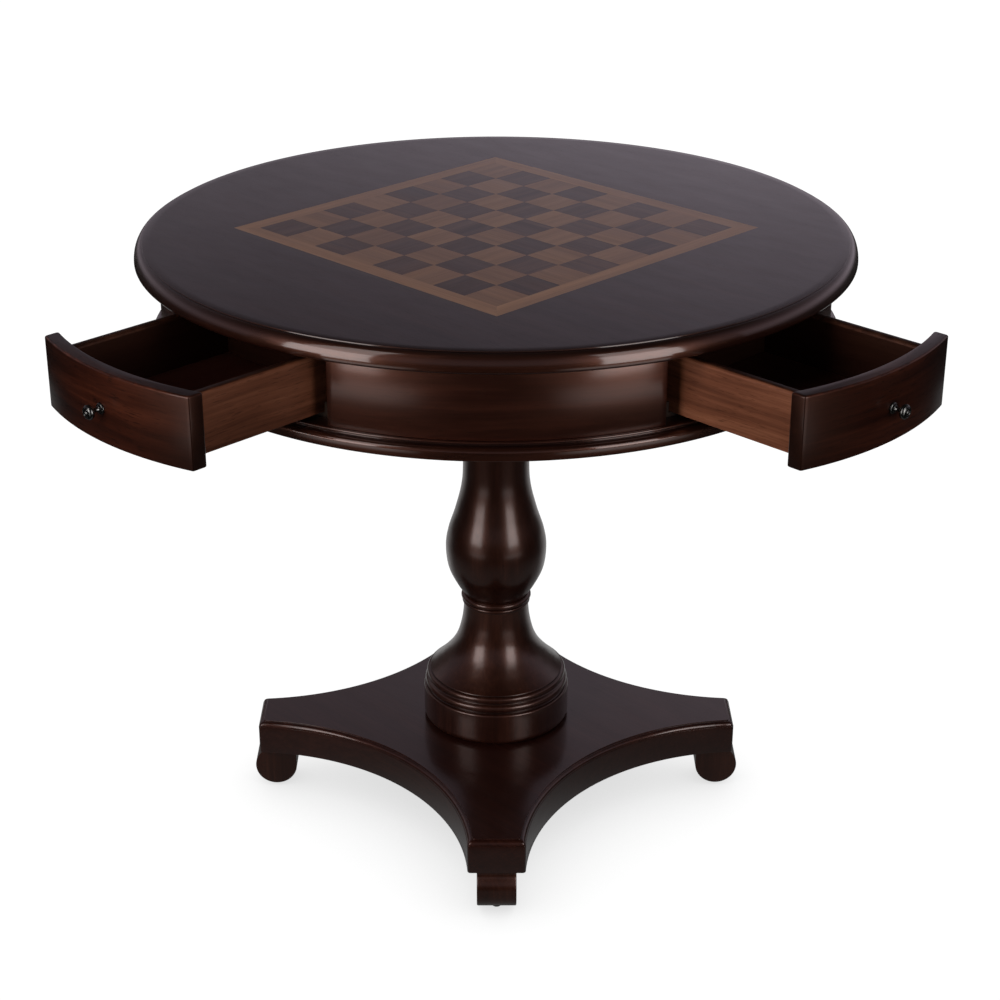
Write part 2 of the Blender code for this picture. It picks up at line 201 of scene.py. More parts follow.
def lathe(name, profile, segments, material, closed=False, grain=None, place=AXIS, smooth=32):
    """A turned piece; the profile runs down its outer side as (radius, height) points."""
    bm = bmesh.new()
    rings = []
    for r, z in profile:
        if r < 1e-6:
            rings.append([bm.verts.new((0, 0, z))])
            continue
        angles = (2 * pi * k / segments for k in range(segments))
        rings.append([bm.verts.new((r * cos(a), r * sin(a), z)) for a in angles])
    pairs = list(zip(rings, rings[1:]))
    if closed:
        pairs.append((rings[-1], rings[0]))
    for upper, lower in pairs:
        for k in range(segments):
            j = (k + 1) % segments
            if len(upper) == 1:
                bm.faces.new((upper[0], lower[k], lower[j]))
            elif len(lower) == 1:
                bm.faces.new((upper[k], lower[0], upper[j]))
            else:
                bm.faces.new((upper[k], lower[k], lower[j], upper[j]))
    counts = [len(ring) for ring in rings]
    obj = make_object(name, bm, material, smooth)
    # painted shade in the profile's hollows, wear and painted highlight on its crests
    shade_and_glaze, wear_and_highlight = profile_marks(profile, closed)
    paint(obj, grain or along(2), np.repeat(shade_and_glaze, counts), np.repeat(wear_and_highlight, counts))
    obj.data.transform(place)
    return obj


def skin(bm, first, second):
    """Joins two rings of equally many points with a band of quads."""
    count = len(first)
    for k in range(count):
        j = (k + 1) % count
        bm.faces.new((first[k], first[j], second[j], second[k]))


def stack(name, outline, levels, material, grain, place=AXIS, edge_wear_and_highlight=0.6, painted_shade=None):
    """A flat piece with shaped edges: the outline at each (inset, height) level, capped."""
    bm = bmesh.new()
    rings = []
    for inset, z in levels:
        rings.append([bm.verts.new((x, y, z)) for x, y in outline(inset)])
    count = len(rings[0])
    for lower, upper in zip(rings, rings[1:]):
        skin(bm, lower, upper)
    bm.faces.new(rings[-1])
    bm.faces.new(list(reversed(rings[0])))
    bmesh.ops.recalc_face_normals(bm, faces=bm.faces)
    obj = make_object(name, bm, material)
    # wear and painted highlight on the eased edge levels
    wear_and_highlight = np.array([edge_wear_and_highlight if inset > 1e-6 else 0.0 for inset, _ in levels])
    wear_and_highlight[0] = wear_and_highlight[-1] = 0.0
    # painted shade on the vertices that the caller's mask picks
    shade_and_glaze = None
    if painted_shade:
        shade_and_glaze = np.array([float(painted_shade(v.co)) for v in obj.data.vertices])
    paint(obj, grain, shade_and_glaze, np.repeat(wear_and_highlight, count))
    obj.data.transform(place)
    return obj


def eased(bottom, top, radius, steps=4, under=None):
    """Levels for a piece whose lower and upper edges are rounded over."""
    under = radius if under is None else under
    low = [(under * (1 - sin(a)), bottom + under * (1 - cos(a)))
           for a in (pi / 2 * k / steps for k in range(steps + 1))]
    high = [(radius * (1 - cos(a)), top - radius * (1 - sin(a)))
            for a in (pi / 2 * k / steps for k in range(steps + 1))]
    return low + high


def put(obj, body, slot, *nodes):
    """Every piece rides on a body and may stand for CAD nodes; the slot argument is not used."""
    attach(obj, body)
    if nodes:
        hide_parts(*nodes)
    return obj


# ---------------------------------------------------------------- materials
class Nodes:
    """Short forms for building a node tree."""

    def __init__(self, name):
        self.material = bpy.data.materials.new(name)
        self.material.use_nodes = True
        self.tree = self.material.node_tree
        self.shader = self.tree.nodes["Principled BSDF"]

    def add(self, kind, inputs=(), **settings):
        node = self.tree.nodes.new("ShaderNode" + kind)
        for key, value in settings.items():
            setattr(node, key, value)
        for key, value in dict(inputs).items():
            self.feed(node.inputs[key], value)
        return node

    def feed(self, socket, value):
        if isinstance(value, bpy.types.NodeSocket):
            self.tree.links.new(value, socket)
        else:
            socket.default_value = value

    def math(self, operation, a, b, clamp=False):
        node = self.add("Math", {0: a, 1: b}, operation=operation, use_clamp=clamp)
        return node.outputs[0]

    def scaled(self, vector, factors):
        node = self.add("VectorMath", {0: vector, 1: factors}, operation="MULTIPLY")
        return node.outputs[0]

    def noise(self, vector, scale=1.0, detail=2.0, rough=0.5):
        node = self.add("TexNoise", {"Vector": vector, "Scale": scale, "Detail": detail,
                                     "Roughness": rough})
        return node.outputs["Fac"]

    def range(self, value, low, high, to_low=0.0, to_high=1.0):
        node = self.add("MapRange", {"Value": value, "From Min": low, "From Max": high,
                                     "To Min": to_low, "To Max": to_high})
        return node.outputs[0]

    def ramp(self, value, stops):
        node = self.add("ValToRGB", {"Fac": value})
        ramp = node.color_ramp
        while len(ramp.elements) < len(stops):
            ramp.elements.new(0.5)
        for element, (place, colour) in zip(ramp.elements, stops):
            element.position = place
            element.color = (*colour, 1)
        return node.outputs["Color"]

    def mix(self, factor, a, b):
        node = self.add("Mix", {"Factor": factor}, data_type="RGBA")
        self.feed(node.inputs[6], a)
        self.feed(node.inputs[7], b)
        return node.outputs[2]


def wood(name, dark, mid, light, gloss, figure=1.0, pores=0.35, fine=1.0, bump=0.25,
         coat=0.8, coat_rough=0.22, level=0.5, tint=(1.0, 0.38, 0.24),
         shade_and_glaze_colour=(0.004, 0.0018, 0.0014)):
    """Stained wood: broad figure, streaks and pores along the grain, painted shade and glaze, wear and
    painted highlight from paint().

    fine scales the pores across the grain; level and tint are the undercoat's own reflection.
    """
    n = Nodes(name)
    grain = n.add("Attribute", attribute_name="grain").outputs["Vector"]
    finish = n.add("Attribute", attribute_name="finish").outputs["Vector"]
    marks = n.add("SeparateXYZ", {0: finish}).outputs
    wander = n.noise(n.scaled(grain, (2.2, 7.0, 7.0)), 1.0, 2.0)
    sway = n.math("MULTIPLY", n.math("SUBTRACT", wander, 0.5), 0.030 * figure)
    swayed = n.add("VectorMath", {0: grain, 1: n.add("CombineXYZ", {1: sway, 2: sway}).outputs[0]},
                   operation="ADD").outputs[0]
    broad = n.noise(n.scaled(swayed, (1.5, 26.0, 26.0)), 1.0, 4.0, 0.55)
    streak = n.noise(n.scaled(swayed, (7.0, 300.0, 300.0)), 1.0, 5.0, 0.6)
    band = n.noise(n.scaled(swayed, (3.5, 95.0, 95.0)), 1.0, 3.0, 0.6)
    cloud = n.noise(n.scaled(grain, (5.0, 9.0, 9.0)), 1.0, 3.0, 0.5)
    pore = n.noise(n.scaled(swayed, (60.0, 1700.0 * fine, 1700.0 * fine)), 1.0, 2.0, 0.5)
    pore = n.range(pore, 0.60, 0.70)
    parts = ((broad, 0.50 * figure), (band, 0.45 * figure), (streak, 0.40), (cloud, 0.18))
    value = marks[2]
    for part, share in parts:
        value = n.math("ADD", value, n.math("MULTIPLY", part, share))
    centre = sum(share for _, share in parts) / 2
    value = n.range(value, centre - 0.20, centre + 0.20)
    colour = n.ramp(value, [(0.0, dark), (0.5, mid), (1.0, light)])
    colour = n.mix(n.math("MULTIPLY", pore, pores), colour, (*[c * 0.35 for c in dark], 1))
    # painted shade, and the top field's stain glaze, darken towards the shade colour
    colour = n.mix(n.math("MULTIPLY", marks[0], 0.95, clamp=True), colour, (*shade_and_glaze_colour, 1))
    # wear and painted highlight lighten the edges
    edge = n.noise(n.scaled(grain, (55.0, 55.0, 55.0)), 1.0, 3.0, 0.6)
    edge = n.math("MULTIPLY", marks[1], n.range(edge, 0.42, 0.72), clamp=True)
    wear_and_highlight_colour = tuple(min(1.0, c * 2.1) for c in light)
    colour = n.mix(n.math("MULTIPLY", edge, 0.55), colour, (*wear_and_highlight_colour, 1))
    n.feed(n.shader.inputs["Base Color"], colour)
    satin = n.range(n.noise(n.scaled(grain, (14.0, 40.0, 40.0)), 1.0, 3.0), 0.3, 0.7,
                    gloss - 0.035, gloss + 0.045)
    n.feed(n.shader.inputs["Roughness"], n.math("ADD", satin, n.math("MULTIPLY", pore, 0.10)))
    height = n.math("SUBTRACT", n.math("MULTIPLY", streak, 0.5), pore)
    relief = n.add("Bump", {"Height": height, "Strength": bump, "Distance": 0.00006})
    n.feed(n.shader.inputs["Normal"], relief.outputs[0])
    n.shader.inputs["IOR"].default_value = 1.5
    n.shader.inputs["Specular IOR Level"].default_value = level
    n.shader.inputs["Specular Tint"].default_value = (*tint, 1)
    n.shader.inputs["Coat Weight"].default_value = coat
    n.shader.inputs["Coat Roughness"].default_value = coat_rough
    return n.material


def metal(name, colour, rough, stain=0.4):
    """Plated metal with darker stain in its hollows and faint turning lines."""
    n = Nodes(name)
    place = n.add("TexCoord").outputs["Object"]
    finish = n.add("Attribute", attribute_name="finish").outputs["Vector"]
    marks = n.add("SeparateXYZ", {0: finish}).outputs
    cloud = n.noise(place, 260.0, 3.0)
    tint = n.mix(n.range(cloud, 0.35, 0.7), (*colour, 1), (*[c * 0.6 for c in colour], 1))
    tint = n.mix(n.math("MULTIPLY", marks[0], stain, clamp=True), tint, (0.01, 0.01, 0.01, 1))
    n.feed(n.shader.inputs["Base Color"], tint)
    n.feed(n.shader.inputs["Roughness"], n.range(cloud, 0.3, 0.7, rough - 0.05, rough + 0.08))
    lines = n.noise(place, 2500.0, 1.0)
    relief = n.add("Bump", {"Height": lines, "Strength": 0.12, "Distance": 0.00003})
    n.feed(n.shader.inputs["Normal"], relief.outputs[0])
    n.shader.inputs["Metallic"].default_value = 1.0
    return n.material


def moulded_plastic(name, colour):
    """Dull plastic with a faint moulded texture."""
    n = Nodes(name)
    place = n.add("TexCoord").outputs["Object"]
    cloud = n.noise(place, 900.0, 3.0)
    n.feed(n.shader.inputs["Base Color"],
           n.mix(cloud, (*colour, 1), (*[c * 1.8 for c in colour], 1)))
    relief = n.add("Bump", {"Height": cloud, "Strength": 0.3, "Distance": 0.0001})
    n.feed(n.shader.inputs["Normal"], relief.outputs[0])
    n.shader.inputs["Roughness"].default_value = 0.5
    return n.material


CASE = wood("dark_cherry_case",
            (0.0070, 0.0017, 0.0010), (0.0165, 0.0040, 0.0023), (0.0370, 0.0100, 0.0056),
            gloss=0.34, figure=1.3, pores=0.6, fine=0.32, coat=0.65, coat_rough=0.18, level=0.8)
MOULDING = wood("dark_cherry_moulding",
                (0.0060, 0.0016, 0.0010), (0.0150, 0.0040, 0.0022), (0.0300, 0.0086, 0.0048),
                gloss=0.30, coat=1.0, coat_rough=0.09, level=0.6)
FRONT = wood("dark_cherry_fronts",
             (0.0095, 0.0020, 0.0012), (0.0400, 0.0088, 0.0042), (0.0980, 0.0240, 0.0110),
             gloss=0.36, figure=1.2, pores=0.95, fine=0.32, coat=0.35, coat_rough=0.16, level=0.4)
FIELD = wood("dark_cherry_field",
             (0.0100, 0.0030, 0.0022), (0.0230, 0.0068, 0.0046), (0.0420, 0.0130, 0.0082),
             gloss=0.35, figure=0.7, pores=0.25, bump=0.12, coat=1.0, coat_rough=0.10, level=0.25)
BASE = wood("dark_cherry_base",
            (0.0110, 0.0027, 0.0018), (0.0220, 0.0056, 0.0037), (0.0400, 0.0110, 0.0070),
            gloss=0.35, figure=0.7, pores=0.25, bump=0.12, coat=1.0, coat_rough=0.16, level=0.35)
TURNED = wood("dark_cherry_turned",
              (0.0090, 0.0022, 0.0012), (0.0230, 0.0060, 0.0032), (0.0520, 0.0160, 0.0090),
              gloss=0.36, figure=0.9, pores=0.5, fine=0.4, bump=0.4, coat=0.85, coat_rough=0.21,
              level=0.5)
VENEER = {"gloss": 0.35, "figure": 0.9, "bump": 0.10, "coat": 0.85, "coat_rough": 0.12, "level": 0.2}
LIGHT_SQUARE = wood("light_veneer",
                    (0.280, 0.126, 0.056), (0.415, 0.196, 0.088), (0.540, 0.272, 0.126),
                    pores=0.18, **VENEER)
DARK_SQUARE = wood("dark_veneer",
                   (0.036, 0.0142, 0.0082), (0.096, 0.0415, 0.0232), (0.175, 0.0800, 0.0450),
                   pores=0.25, **VENEER)
BORDER = wood("border_veneer",
              (0.370, 0.170, 0.078), (0.510, 0.246, 0.112), (0.640, 0.325, 0.155),
              pores=0.18, **VENEER)
# the drawer sides' darker colour is the painted shade on their inner faces
SIDE = wood("drawer_side_wood",
            (0.070, 0.020, 0.0085), (0.200, 0.066, 0.032), (0.340, 0.126, 0.064),
            gloss=0.50, figure=1.1, pores=0.55, fine=0.45, bump=0.35, coat=0.2, coat_rough=0.30,
            level=0.4, shade_and_glaze_colour=(0.0085, 0.0024, 0.0017))
LINING = wood("drawer_floor_wood",
              (0.0150, 0.0036, 0.0025), (0.0280, 0.0068, 0.0045), (0.0440, 0.0112, 0.0070),
              gloss=0.50, figure=0.8, pores=0.3, coat=0.15, coat_rough=0.30, level=0.3)
CARCASS = wood("carcass_wood",
               (0.0180, 0.0085, 0.0050), (0.0300, 0.0145, 0.0085), (0.0460, 0.0230, 0.0135),
               gloss=0.6, pores=0.5, bump=0.5, coat=0.0, level=0.2, tint=(1, 1, 1))
PEWTER = metal("dark_pewter", (0.150, 0.146, 0.140), 0.20, 0.8)
ZINC = metal("bright_zinc", (0.55, 0.55, 0.54), 0.32)
PLASTIC = moulded_plastic("glide_plastic", (0.030, 0.028, 0.026))


# ---------------------------------------------------------------- top
FIELD_EDGE = 0.4188                            # where the flat field ends and the sunk line starts
RIM_START = 0.4197                             # faces beyond this take the moulding's finish
RIM_GRAIN = 0.4194                             # points beyond this have grain that runs round
NOSE_START = 0.4290                            # points beyond this take wear and painted highlight


def top_panel():
    """Field, sunk line and bullnose edge, with a square hollow for the chessboard."""
    step = TOP_Z - 0.0013
    widest = TOP_Z - 0.0194
    profile = [(FIELD_EDGE, TOP_Z), (0.4193, TOP_Z - 0.00015), (0.41955, TOP_Z - 0.0006),
               (0.4196, step), (0.4203, step - 0.0001)]
    profile += arc((TOP_R - 0.0098, widest), (0.0098, step - 0.0002 - widest), pi / 2, 0, 16)
    profile += arc((TOP_R - 0.0042, widest), (0.0042, widest - TOP_UNDER - 0.0006), 0, -radians(70), 8)[1:]
    profile += [(TOP_R - 0.0036, TOP_UNDER)]
    inner = 0.360
    bm = bmesh.new()
    segments = 256
    rings = []
    field = [(inner + (FIELD_EDGE - inner) * k / 6, TOP_Z) for k in range(1, 6)]
    for r, z in [(inner, TOP_Z)] + field + profile:
        rings.append([bm.verts.new((r * cos(a), r * sin(a), z))
                      for a in (2 * pi * k / segments for k in range(segments))])
    for upper, lower in zip(rings, rings[1:]):
        for k in range(segments):
            j = (k + 1) % segments
            bm.faces.new((upper[k], lower[k], lower[j], upper[j]))
    bm.faces.new(list(reversed(rings[-1])))
    # the field between the round rings and the board's square hollow
    half = BOARD_HALF + 0.0001
    square = []
    for k in range(segments):
        a = 2 * pi * k / segments
        reach = half / max(abs(cos(a)), abs(sin(a)))
        square.append((reach * cos(a), reach * sin(a)))
    rows = [rings[0]]
    for t in (0.34, 0.67, 1.0):
        row = []
        for k in range(segments):
            a = 2 * pi * k / segments
            x = inner * cos(a) * (1 - t) + square[k][0] * t
            y = inner * sin(a) * (1 - t) + square[k][1] * t
            row.append(bm.verts.new((x, y, TOP_Z)))
        rows.append(row)
    floor = [bm.verts.new((x, y, TOP_Z - BOARD_THICK - 0.0002)) for x, y in square]
    rows.append(floor)
    for outer, nearer in zip(rows, rows[1:]):
        skin(bm, outer, nearer)
    bm.faces.new(floor)
    bmesh.ops.recalc_face_normals(bm, faces=bm.faces)
    obj = make_object("table_top", bm, FIELD, 30)
    obj.data.materials.append(MOULDING)
    for face in obj.data.polygons:
        face.material_index = int(hypot(face.center.x, face.center.y) > RIM_START)
    co = np.array([v.co for v in obj.data.vertices])
    radius = np.hypot(co[:, 0], co[:, 1])
    rim = radius > RIM_GRAIN
    burnish = np.clip((radius - 0.27) / 0.15, 0, 1) ** 1.6 * 0.42
    # painted shade along the sunk line between field and rim
    sunk = np.exp(-((radius - 0.4199) / 0.0007) ** 2) * (co[:, 2] < TOP_Z - 0.0010)
    shade_and_glaze = np.where(rim, sunk, burnish)
    # the bullnose takes wear and painted highlight
    wear_and_highlight = np.where(radius > NOSE_START, 0.25, 0.0)
    grain_field = along(0)
    grain_rim = around()
    paint(obj, lambda c: np.where(rim[:, None], grain_rim(c), grain_field(c)), shade_and_glaze, wear_and_highlight)
    obj.data.transform(AXIS)
    return put(obj, "table", "stained_hardwood", "top_panel")


board_low, board_high, _ = spread("chessboard_inlay")
BOARD_HALF = (board_high.x - board_low.x) / 2
BOARD_THICK = board_high.z - board_low.z
BORDER_WIDTH = 0.0222
SQUARE = (BOARD_HALF - BORDER_WIDTH) * 2 / 8
CORNER_REACH = 1.41                            # an inset of the sides, measured at a square's corner


def tile(bm, corners, ease, low, high):
    """One veneer tile: a thin slab with its top arris taken off."""
    centre = sum((Vector(c) for c in corners), Vector((0, 0))) / len(corners)
    rings = []
    for inset, z in ((0.00002, low), (0.00002, high - ease), (ease, high)):
        ring = []
        for c in corners:
            away = Vector(c) - centre
            ring.append(bm.verts.new((*(Vector(c) - away.normalized() * inset * CORNER_REACH), z)))
        rings.append(ring)
    for lower, upper in zip(rings, rings[1:]):
        skin(bm, lower, upper)
    bm.faces.new(rings[-1])
    bm.faces.new(list(reversed(rings[0])))
    return [v for ring in rings for v in ring]


def board_piece(name, material, slabs, nodes=()):
    """Tiles of one veneer in one piece; each tile has its own stretch of grain and tone."""
    bm = bmesh.new()
    grains, tones = [], []
    for corners, direction, tone in slabs:
        verts = tile(bm, corners, 0.00008, TOP_Z - BOARD_THICK, TOP_Z)
        shift = rng.uniform(0, 40, 3)
        ux, uy = direction
        for v in verts:
            u = v.co.x * ux + v.co.y * uy
            w = -v.co.x * uy + v.co.y * ux
            grains.append((u + shift[0], w + shift[1], shift[2]))
            tones.append(tone)
    bmesh.ops.recalc_face_normals(bm, faces=bm.faces)
    obj = make_object(name, bm, material, 20)
    paint(obj, lambda co: np.array(grains), None, None, np.array(tones))
    obj.data.transform(AXIS)
    return put(obj, "table", "inlay_veneer", *nodes)


def chessboard():
    """Sixty-four squares in two veneers inside four mitred border strips."""
    light, dark = [], []
    start = BORDER_WIDTH - BOARD_HALF
    for row in range(8):
        for column in range(8):
            x, y = start + column * SQUARE, start + row * SQUARE
            corners = [(x, y), (x + SQUARE, y), (x + SQUARE, y + SQUARE), (x, y + SQUARE)]
            tone = rng.normal(0, 0.045)
            direction = (1, 0) if rng.random() < 0.5 else (0, 1)
            # the corner squares at -X -Y and at +X +Y are dark
            group = light if (row + column) % 2 else dark
            group.append((corners, direction, tone))
    board_piece("chess_squares_light", LIGHT_SQUARE, light, ("chessboard_inlay",))
    board_piece("chess_squares_dark", DARK_SQUARE, dark)
    strips = []
    inner, outer = BOARD_HALF - BORDER_WIDTH, BOARD_HALF
    for k in range(4):
        turn = Matrix.Rotation(k * pi / 2, 2)
        corners = [tuple(turn @ Vector(c)) for c in
                   ((-outer, -outer), (outer, -outer), (inner, -inner), (-inner, -inner))]
        strips.append((corners, tuple(turn @ Vector((1, 0))), rng.normal(0, 0.02)))
    board_piece("chess_border", BORDER, strips)


# ---------------------------------------------------------------- case
def apron():
    """Four curved panels between the drawer openings."""
    low, high, _ = spread("apron_panel_front")

    def outline(inset, turn=0.0):
        outer, inner = APRON_R - inset, INNER_R + inset
        half = OPENING_HALF + inset
        a, b = asin(half / outer), asin(half / inner)
        points = arc((0, 0), outer, turn + a, turn + pi / 2 - a, 48)
        points += arc((0, 0), inner, turn + pi / 2 - b, turn + b, 48)
        return fillet(points, {0, 48, 49, 97}, 0.0010, 3)

    for k, place in enumerate(("front", "right", "back", "left")):
        turn = radians(-90 + 90 * k)
        panel = stack(f"apron_{place}", lambda d, t=turn: outline(d, t),
                      eased(low.z, high.z, 0.0005, 2), CASE, around())
        put(panel, "table", "stained_hardwood", f"apron_panel_{place}")


def ring_moulding():
    """Bead, cove and eased band under the drawers."""
    low, high = ring_low.z, ring_high.z
    ledge_r = 0.3847
    bead = APRON_R + 0.0035
    profile = [(ledge_r, high), (bead - 0.0014, high)]
    profile += arc((bead - 0.0014, high - 0.0014), 0.0014, pi / 2, -pi / 2, 10)[1:]
    profile += [(bead - 0.0018, high - 0.0030), (bead - 0.0018, high - 0.0044),
                (bead - 0.0006, high - 0.0048)]
    profile += arc((RING_R - 0.0050, high - 0.0098), (0.0050, 0.0050), pi / 2, 0, 10)
    profile += arc((RING_R - 0.0016, low + 0.0016), 0.0016, 0, -pi / 2, 5)
    profile += [(ledge_r - 0.0120, low), (ledge_r - 0.0120, low + 0.0062), (ledge_r, low + 0.0062)]
    ring = lathe("ring_moulding", profile, 256, MOULDING, closed=True, grain=around())
    put(ring, "table", "stained_hardwood", "lower_ring_moulding")


# ---------------------------------------------------------------- drawers
def drawer(place, angle):
    """One drawer at the opening it has at rest; its front has painted shade towards both ends."""
    body = f"{place}_drawer"
    joint = next(j for j in frame["joints"] if j["child"] == body)
    opened = -joint["range_m"][0]
    base = AXIS @ Matrix.Rotation(radians(angle), 4, "Z") @ Matrix.Translation((opened, 0, 0))
    low, high, _ = spread(f"{body}_front")

    def front_outline(inset):
        outer, inner, half = APRON_R - inset, INNER_R + inset, FRONT_HALF - inset
        a, b = asin(half / outer), asin(half / inner)
        points = arc((0, 0), outer, -a, a, 56) + arc((0, 0), inner, b, -b, 56)
        return fillet(points, {0, 56, 57, 113}, 0.0020, 4)

    # painted shade darkens the front towards both ends
    front = stack(f"{body}_curved_front", front_outline, eased(low.z, high.z, 0.0024, 4, 0.0018),
                  FRONT, around(), base,
                  painted_shade=lambda p: 0.80 * max(0.0, (abs(p.y) - 0.036) / 0.085) ** 1.2)
    put(front, body, "stained_hardwood", f"{body}_front")
    drawer_box(body, base)
    knob(body, base)


def drawer_box(body, base):
    """Sides, back and floor; the faces that look inwards take painted shade."""
    low, high, _ = spread(f"{body}_side_left")
    end = INNER_R - GAP

    for sign, name in ((1, "left"), (-1, "right")):
        def outline(inset, sign=sign):
            y0, y1 = BOX_HALF - WALL + inset, BOX_HALF - inset
            x0, x1 = sqrt(end ** 2 - y0 ** 2), sqrt(end ** 2 - y1 ** 2)
            points = [(BOX_BACK, y0), (x0, y0), (x1, y1), (BOX_BACK, y1)]
            return points if sign > 0 else [(x, -y) for x, y in reversed(points)]
        # painted shade on every face of a side but its outer one
        side = stack(f"{body}_wall_{name}", outline, eased(low.z, high.z, 0.0048, 6, 0.0008), SIDE,
                     along(0), base, edge_wear_and_highlight=0.15, painted_shade=lambda p: abs(p.y) < BOX_HALF - 0.0016)
        put(side, body, "drawer_side_wood", f"{body}_side_{name}")

    low, high, _ = spread(f"{body}_back")
    inside = BOX_HALF - WALL - GAP

    def back_outline(inset):
        return [(BOX_BACK + inset, -inside), (BOX_BACK + WALL - inset, -inside),
                (BOX_BACK + WALL - inset, inside), (BOX_BACK + inset, inside)]
    # painted shade on the back board's inner face
    back = stack(f"{body}_back_board", back_outline, eased(low.z, high.z, 0.0040, 5, 0.0005), SIDE,
                 along(1), base, edge_wear_and_highlight=0.15, painted_shade=lambda p: p.x > BOX_BACK + WALL / 2)
    put(back, body, "drawer_side_wood", f"{body}_back")

    low, high, _ = spread(f"{body}_floor")
    edge = asin(inside / end)

    def floor_outline(inset):
        return [(BOX_BACK, inside - inset), (BOX_BACK, inset - inside)] + [
            (x - inset, y * (1 - inset / inside)) for x, y in arc((0, 0), end, -edge, edge, 40)]
    floor = stack(f"{body}_bottom_board", floor_outline, eased(low.z, high.z, 0.0003, 2), LINING,
                  along(0), base)
    put(floor, body, "drawer_floor_wood", f"{body}_floor")


def knob(body, base):
    """Ringed knob and its rose on the front, and the screw head that holds it, inside."""
    mid = spread(f"{body}_knob")[2]
    reach = 0.0200
    turn = base @ Matrix.Translation((APRON_R, 0, mid.z)) @ Matrix.Rotation(pi / 2, 4, "Y")
    face = [(0, reach - 0.0004), (0.0012, reach - 0.0002), (0.0022, reach - 0.0008),
            (0.0027, reach - 0.0010), (0.0033, reach - 0.0004), (0.0048, reach - 0.0006),
            (0.0054, reach - 0.0014), (0.0059, reach - 0.0012)]
    rim = arc((0.0055, reach - 0.0048), (0.0026, 0.0034), radians(70), radians(-75), 12)
    neck = smooth_run([(0.0050, reach - 0.0088), (0.0030, reach - 0.0106), (0.0024, 0.0075),
                       (0.0030, 0.0044)], 4)
    head = lathe(f"{body}_pull", face + rim + neck + [(0, 0.0044)], 48, PEWTER, place=turn, smooth=40)
    put(head, body, "dark_metal_knob", f"{body}_knob")
    rose = [(0, 0.0043), (0.0030, 0.0043), (0.0036, 0.0036), (0.0042, 0.0034), (0.0046, 0.0026),
            (0.0056, 0.0023), (0.0062, 0.0016), (0.0064, 0.0008), (0.0064, 0.0003), (0, 0.0003)]
    put(lathe(f"{body}_pull_rose", rose, 48, PEWTER, place=turn, smooth=40), body, "dark_metal_knob")
    inner = base @ Matrix.Translation((INNER_R, 0, mid.z)) @ Matrix.Rotation(-pi / 2, 4, "Y")
    screw = [(0, 0.0022), (0.0016, 0.0021), (0.0030, 0.0014), (0.0036, 0.0004), (0.0036, 0.0001),
             (0, 0.0001)]
    put(lathe(f"{body}_pull_screw", screw, 24, ZINC, place=inner), body, "plated_steel")


# ---------------------------------------------------------------- column
def column():
    """Vase, neck ring and bell, each bored for the tie rod."""
    hole = 0.0062
    low, high, _ = spread("column_vase")
    shaft = arc((0.0500, high.z - 0.0040), (0.0020, 0.0040), pi / 2, -pi / 2, 8)
    shaft += [(0.0490, high.z - 0.0092), (0.0490, high.z - 0.0125)]
    shaft += smooth_run([(0.0465, high.z - 0.0150), (0.0445, 0.6050), (0.0425, 0.5300),
                         (0.0418, 0.4640), (0.0440, 0.4320), (0.0520, 0.3990), (0.0612, 0.3700),
                         (0.0644, 0.3470), (0.0612, 0.3200), (0.0502, 0.2960), (0.0406, low.z)], 10)
    vase = lathe("turned_vase", [(hole, high.z)] + shaft + [(hole, low.z)], 128, TURNED, closed=True)
    put(vase, "table", "stained_hardwood", "column_vase")

    low, high, _ = spread("column_neck_ring")
    bead = [(hole, high.z), (0.0404, high.z)]
    bead += arc((0.0410, 0.2772), 0.0040, radians(68), radians(-62), 12)
    bead += [(0.0416, 0.2728), (0.0424, 0.2726)]
    bead += arc((0.0424, 0.2706), (0.0012, 0.0019), pi / 2, -pi / 2, 8)[1:]
    bead += [(0.0418, low.z + 0.0014), (0.0418, low.z), (hole, low.z)]
    put(lathe("turned_neck_ring", bead, 128, TURNED, closed=True), "table", "stained_hardwood",
        "column_neck_ring")

    low, high, _ = spread("column_bell")
    bell = smooth_run([(0.0415, high.z), (0.0426, 0.2520), (0.0449, 0.2380), (0.0498, 0.2200),
                       (0.0580, 0.2040), (0.0690, 0.1900), (0.0795, 0.1790), (0.0860, 0.1730)], 9)
    bell += [(0.0858, 0.1728), (0.0852, 0.1722), (0.0856, 0.1716)]
    bell += arc((0.0862, 0.1668), (0.0044, 0.0046), radians(80), radians(-62), 12)
    bell += [(0.0882, 0.1618), (0.0886, 0.1612)]
    bell += arc((0.0882, 0.1556), (0.0048, 0.0052), radians(78), radians(-70), 12)
    bell += [(0.0898, 0.1496), (0.0904, 0.1490)]
    bell += arc((0.0918, 0.1458), (0.0028, 0.0030), pi / 2, 0, 8)
    bell += [(0.0946, 0.1300), (0.0946, low.z + 0.0100)]
    bell += arc((0.0866, low.z + 0.0080), (0.0080, 0.0080), 0, -pi / 2, 10)[1:]
    put(lathe("turned_bell", [(hole, high.z)] + bell + [(hole, low.z)], 160, TURNED, closed=True),
        "table", "stained_hardwood", "column_bell")


